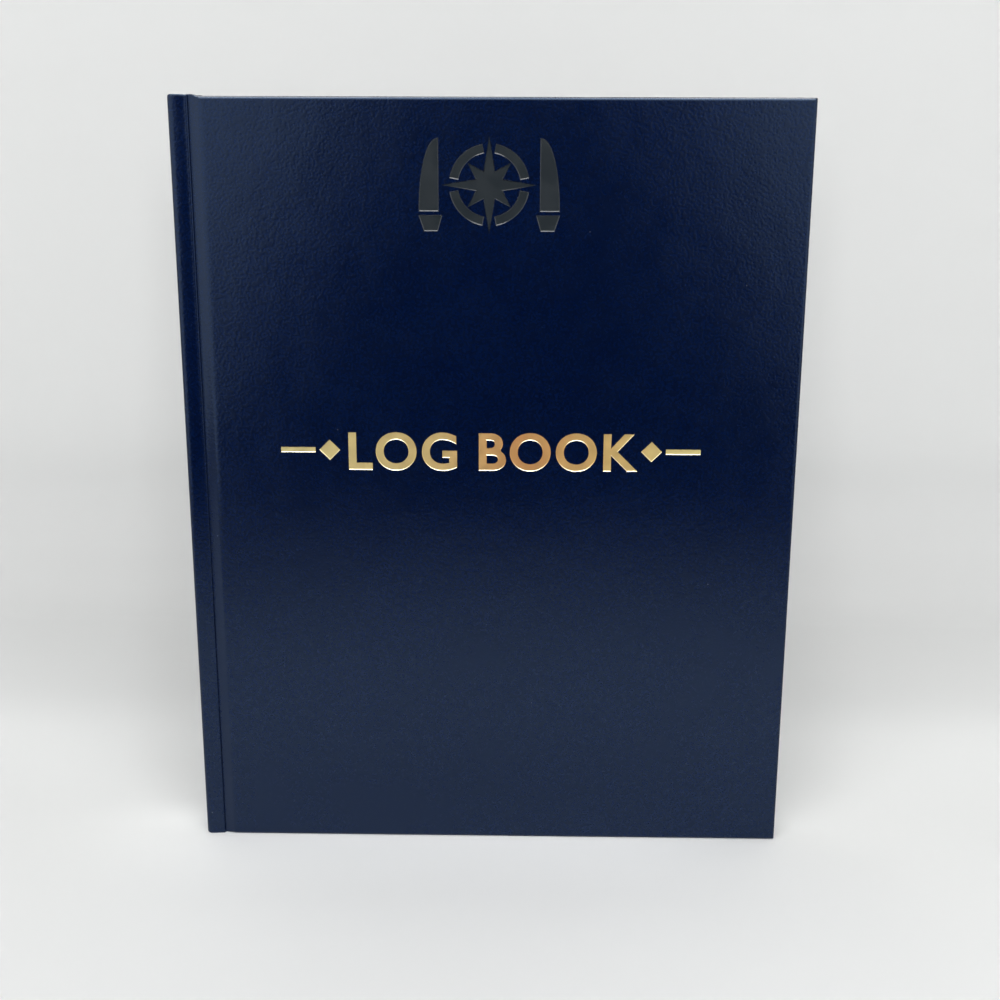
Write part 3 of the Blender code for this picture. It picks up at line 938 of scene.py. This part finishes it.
def build_signatures(page):
    u_range, z_range = (SHEET_START_U, LEAF_HIGH.x - SPINE_X), (LEAF_LOW.z, LEAF_HIGH.z)
    for number, part in itertools.product(range(1, 7), ("front", "rear")):
        node = f"signature_{number}_{part}_leaves"
        name = f"signature_{number}_{part}_sheets"
        box = (u_range, depth_range(node, FRONT), z_range)
        cut = {"count": LEAVES_PER_PACKET, "ragged": 0.14 * MM, "filled": 0.82}
        leaves = sheet_piece(name, FRONT, box, LEAF_END_U, page, "page_paper", **cut)
        bend_with(leaves)
        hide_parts(node)


def build_paper():
    mull = woven_material("mull_weave", *MULL_WEAVE)
    build_endpapers(paper_material("endpaper_look", *ENDPAPER_TONES), mull)
    build_signatures(paper_material("ruled_page_look", *PAGE_TONES, ruled=True))
    plain = {
        "greyboard": greyboard_material(),
        "kraft_paper": kraft_material(),
        "endpaper": paper_material("endpaper_fold_look", *ENDPAPER_TONES, rest=False),
        "page_paper": paper_material("fold_look", *PAGE_TONES, rest=False),
        "mull_cloth": woven_material("spine_mull_weave", *MULL_WEAVE, rest=False),
        "linen_thread": thread_material(),
    }
    for entry in frame["record"]["subparts"]:
        look = plain.get(entry["material_slot"])
        if look:
            data = frame["nodes"][entry["node"]].data
            data.materials.clear()
            data.materials.append(look)
    band = band_material()
    ribbed_band("head_band", "head", band)
    ribbed_band("tail_band", "tail", band)


# ---------------------------------------------------------------- stage, light, camera


def painted_shade_by_slope(nodes, slope):
    """Painted shade on the backdrop along the line of sight: darker low on the wall, where floor and wall
    meet.
    """
    span = SLOPE_HIGH - SLOPE_LOW
    curve = nodes.add("ShaderNodeValToRGB", {0: nodes.ramp(slope, SLOPE_LOW, SLOPE_HIGH, smooth=False)})
    curve.color_ramp.interpolation = "CARDINAL"
    stops = curve.color_ramp.elements
    for stop, (at, tone) in zip(list(stops), (BACKDROP_PAINTED_SHADE[0], BACKDROP_PAINTED_SHADE[-1])):
        stop.position, stop.color = (at - SLOPE_LOW) / span, (tone, tone, tone, 1)
    for at, tone in BACKDROP_PAINTED_SHADE[1:-1]:
        stops.new((at - SLOPE_LOW) / span).color = (tone, tone, tone, 1)
    return curve.outputs[0]


def painted_light_round_book(nodes, x, y, across, slope):
    """Painted light that the cover throws on the floor before it, painted soft shade beside it, and painted
    light leaning to one side.
    """
    # Painted light: the floor just before the cover is lightened.
    off_centre = nodes.math("ABSOLUTE", nodes.math("ADD", x, 0.015))
    near_cover = nodes.math("MULTIPLY", nodes.ramp(off_centre, 0.14, 0.05), nodes.ramp(y, 0.02, 0.0))
    close, wide = nodes.ramp(y, -0.05, -0.01, 0.0, 0.14), nodes.ramp(y, -0.13, -0.03, 0.0, 0.09)
    painted_thrown_light = nodes.math("MULTIPLY", near_cover, nodes.math("ADD", close, wide))

    # Painted shade: the backdrop is darkened just outside the book's outline, behind it.
    off_axis = nodes.math("ABSOLUTE", nodes.math("ADD", across, 0.023))
    beyond_edge = nodes.math("SUBTRACT", off_axis, 0.226)
    spread = nodes.math("DIVIDE", beyond_edge, nodes.ramp(slope, -0.45, -0.05, 0.075, 0.035))
    behind_book = nodes.math("MULTIPLY", nodes.ramp(y, 0.0, 0.05), nodes.ramp(slope, 0.02, -0.08))
    shade = nodes.math("MULTIPLY", nodes.ramp(spread, 0.0, 1.0, 0.10, 0.0), behind_book)

    # Painted light: low down, the backdrop is lighter to the right and darker to the left.
    painted_lean_of_light = nodes.ramp(across, -0.3, 0.28, -0.008, 0.022)
    painted_lean_of_light = nodes.math("MULTIPLY", painted_lean_of_light, nodes.ramp(slope, -0.12, -0.3))
    return nodes.math("ADD", nodes.math("SUBTRACT", painted_thrown_light, shade), nodes.math("ADD", painted_lean_of_light, 1.0))


def backdrop_material():
    """Matte white, with painted light and shade, and the floor painted darker in glossy rays. Its back is
    clear, and far off it is painted as a glow in the room's colour.
    """
    made, nodes, shader, place = new_material("pale_backdrop", rest=False)
    x, y, z = nodes.split(place)
    ahead = nodes.math("SUBTRACT", y, EYE.y)
    slope = nodes.math("DIVIDE", nodes.math("SUBTRACT", z, EYE.z), ahead)
    across = nodes.math("DIVIDE", nodes.math("SUBTRACT", x, EYE.x), ahead)
    path = nodes.add("ShaderNodeLightPath").outputs

    # Painted reflection: in glossy rays the floor before the book is darkened, most towards its front.
    floor_dimmed_in_reflection = nodes.math("MULTIPLY", path["Is Glossy Ray"], nodes.ramp(y, -0.42, -0.10, 0.9, 0.0))
    # Painted light and shade round the book scale the backdrop's colour.
    tone = painted_light_round_book(nodes, x, y, across, slope)
    tone = nodes.math("MULTIPLY", nodes.math("SUBTRACT", 1.0, floor_dimmed_in_reflection), tone)
    cloud = nodes.mix(nodes.noise(place, 3.0, 3.0, 0.5), (0.80, 0.805, 0.795, 1), (0.82, 0.825, 0.82, 1))
    grey = nodes.add("ShaderNodeCombineColor", {0: tone, 1: tone, 2: tone}).outputs[0]
    colour = nodes.mix(1.0, cloud, grey, "MULTIPLY")
    # Painted shade by slope of the line of sight darkens it further.
    colour = nodes.mix(1.0, colour, painted_shade_by_slope(nodes, slope), "MULTIPLY")
    tooth = nodes.bump(nodes.noise(place, 900.0), 0.02 * MM, 0.3)
    set_inputs(nodes, shader, Base_Color=colour, Roughness=0.8, Normal=tooth)

    # Far off, camera rays see the backdrop as a painted glow in the room's colour instead of the lit surface.
    reach = nodes.add("ShaderNodeVectorMath", {0: place}, operation="LENGTH").outputs["Value"]
    far = nodes.math("MULTIPLY", nodes.ramp(reach, 0.55, 1.4), path["Is Camera Ray"])
    room = nodes.add("ShaderNodeEmission", {"Color": ROOM_COLOUR, "Strength": ROOM_SHOWN}).outputs[0]
    clear = nodes.add("ShaderNodeBsdfTransparent").outputs[0]
    behind = nodes.add("ShaderNodeNewGeometry").outputs["Backfacing"]
    far_room_glow = nodes.add("ShaderNodeMixShader", {0: far, 1: shader.outputs[0], 2: room}).outputs[0]
    blend = nodes.add("ShaderNodeMixShader", {0: behind, 1: far_room_glow, 2: clear}).outputs[0]
    made.node_tree.links.new(blend, made.node_tree.nodes["Material Output"].inputs[0])
    return made


def build_stage():
    """A pale floor curving up into a pale wall, clear of the open leaves. Far floor is not mirrored."""
    look = backdrop_material()
    wall_y, radius, front_y, far_end = WIDTH + 0.075, 0.060, -0.42, 4.0
    cove_y = wall_y - radius
    cove = [(front_y, 0.0), (cove_y, 0.0)]
    for i in range(1, 25):
        a = math.pi / 2 * i / 24
        cove.append((cove_y + radius * math.sin(a), radius - radius * math.cos(a)))
    cove.append((wall_y, 3.0))
    strips = {
        "backdrop": cove,
        "apron": [(-far_end, 0.0), (front_y, 0.0)],
        "rear_floor": [(cove_y, 0.0), (far_end, 0.0)],
    }
    for name, profile in strips.items():
        bm = bmesh.new()
        lines = [[bm.verts.new((x, y, z)) for y, z in profile] for x in (-far_end, far_end)]
        for i in range(len(profile) - 1):
            bm.faces.new((lines[0][i], lines[1][i], lines[1][i + 1], lines[0][i + 1]))
        obj = link_bmesh(name, bm)
        obj.data.materials.append(look)
        obj.data.shade_smooth()
        obj.visible_glossy = name == "backdrop"


def build_world():
    """A bright room, with someone in dark clothes behind the camera. Seen directly it is plain and pale."""
    world = bpy.data.worlds.new("soft_room")
    bpy.context.scene.world = world
    world.use_nodes = True
    nodes = Nodes(world.node_tree)
    ray = nodes.add("ShaderNodeTexCoord").outputs["Generated"]
    x, y, z = nodes.split(ray)
    ahead = nodes.math("MAXIMUM", nodes.math("MULTIPLY", y, -1.0), 0.001)
    across = nodes.math("DIVIDE", nodes.math("ABSOLUTE", x), ahead)
    up = nodes.math("DIVIDE", z, ahead)
    half_width = nodes.ramp(up, -0.30, 0.05, 0.31, 0.125, smooth=False)
    beside = nodes.ramp(nodes.math("SUBTRACT", across, half_width), -0.06, 0.08)
    above = nodes.ramp(up, 0.06, 0.24)
    lit = nodes.math("MAXIMUM", beside, above)
    mirrored = nodes.math("MULTIPLY", lit, nodes.ramp(z, -0.35, 0.12, 0.99, 1.42))
    path = nodes.add("ShaderNodeLightPath").outputs
    soft = nodes.add("ShaderNodeMix", {0: path["Is Glossy Ray"], 2: 0.24, 3: mirrored}).outputs[0]
    shown = nodes.add("ShaderNodeMix", {0: path["Is Camera Ray"], 2: soft, 3: ROOM_SHOWN}).outputs[0]
    background = world.node_tree.nodes["Background"]
    background.inputs["Color"].default_value = ROOM_COLOUR
    world.node_tree.links.new(shown, background.inputs["Strength"])


def add_area(name, location, target, size, power, mirrored_only=False):
    light = bpy.data.lights.new(name, "AREA")
    light.shape = "RECTANGLE"
    light.size, light.size_y = size
    light.energy = power
    obj = bpy.data.objects.new(name, light)
    obj.location = location
    obj.rotation_euler = (Vector(target) - Vector(location)).to_track_quat("-Z", "Y").to_euler()
    obj.visible_diffuse = not mirrored_only
    bpy.context.scene.collection.objects.link(obj)


def build_camera():
    """The camera looks slightly down on the cover from in front."""
    pitch, roll, yaw = (math.radians(a) for a in (14.6958, -0.2107, 0.917))
    turn = Matrix.Rotation(yaw, 3, "Z") @ Matrix.Rotation(-pitch, 3, "X") @ Matrix.Rotation(roll, 3, "Y")
    right, ahead, up = turn.col
    axes = Matrix((right, up, -ahead)).transposed()
    data = bpy.data.cameras.new("camera")
    data.sensor_width = 36.0
    data.lens = 49.12
    data.clip_start = 0.01
    camera = bpy.data.objects.new("camera", data)
    camera.matrix_world = Matrix.Translation(EYE) @ axes.to_4x4()
    bpy.context.scene.collection.objects.link(camera)
    bpy.context.scene.camera = camera


build_case(leatherette_material())
build_paper()
build_stage()
build_world()
add_area("ceiling_window", (0.0, -0.95, 1.15), (0.0, 0.0, 0.05), (1.7, 0.9), 18.6)
add_area("wall_wash", (0.0, -0.75, 1.15), (0.0, 0.22, 0.35), (1.6, 0.5), 2.0)
add_area("overhead_panel", (0.0, -0.05, 1.4), (0.0, 0.0, 0.2), (1.2, 0.7), 36.0, mirrored_only=True)
build_camera()
bpy.context.scene.view_settings.view_transform = "Standard"
